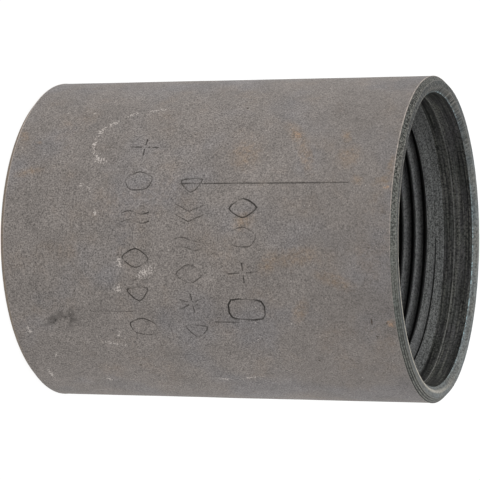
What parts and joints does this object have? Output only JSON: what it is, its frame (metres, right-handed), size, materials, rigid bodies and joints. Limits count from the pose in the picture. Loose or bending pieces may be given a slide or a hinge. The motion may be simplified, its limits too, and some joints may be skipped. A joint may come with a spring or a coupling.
{
  "type": "threaded pipe sleeve coupling",
  "caption": "Thick-walled steel sleeve with bevelled, recessed ends and a tapered right-hand pipe thread cut in from each end, for joining two pipes rigidly end to end.",
  "frame": {"origin": "centre of the lower end, in the plane of its bearing face", "axes": "+Z along the sleeve's axis, towards the upper end; the two ends are alike"},
  "size_m": [0.0558, 0.0558, 0.0698],
  "materials": {
    "mill_scale_steel": "matte dark warm-grey mill scale with light rust outside, bare grey machined ends, darker oiled threads"
  },
  "bodies": {
    "root": {"coupling_sleeve": "mill_scale_steel"}
  },
  "joints": []
}
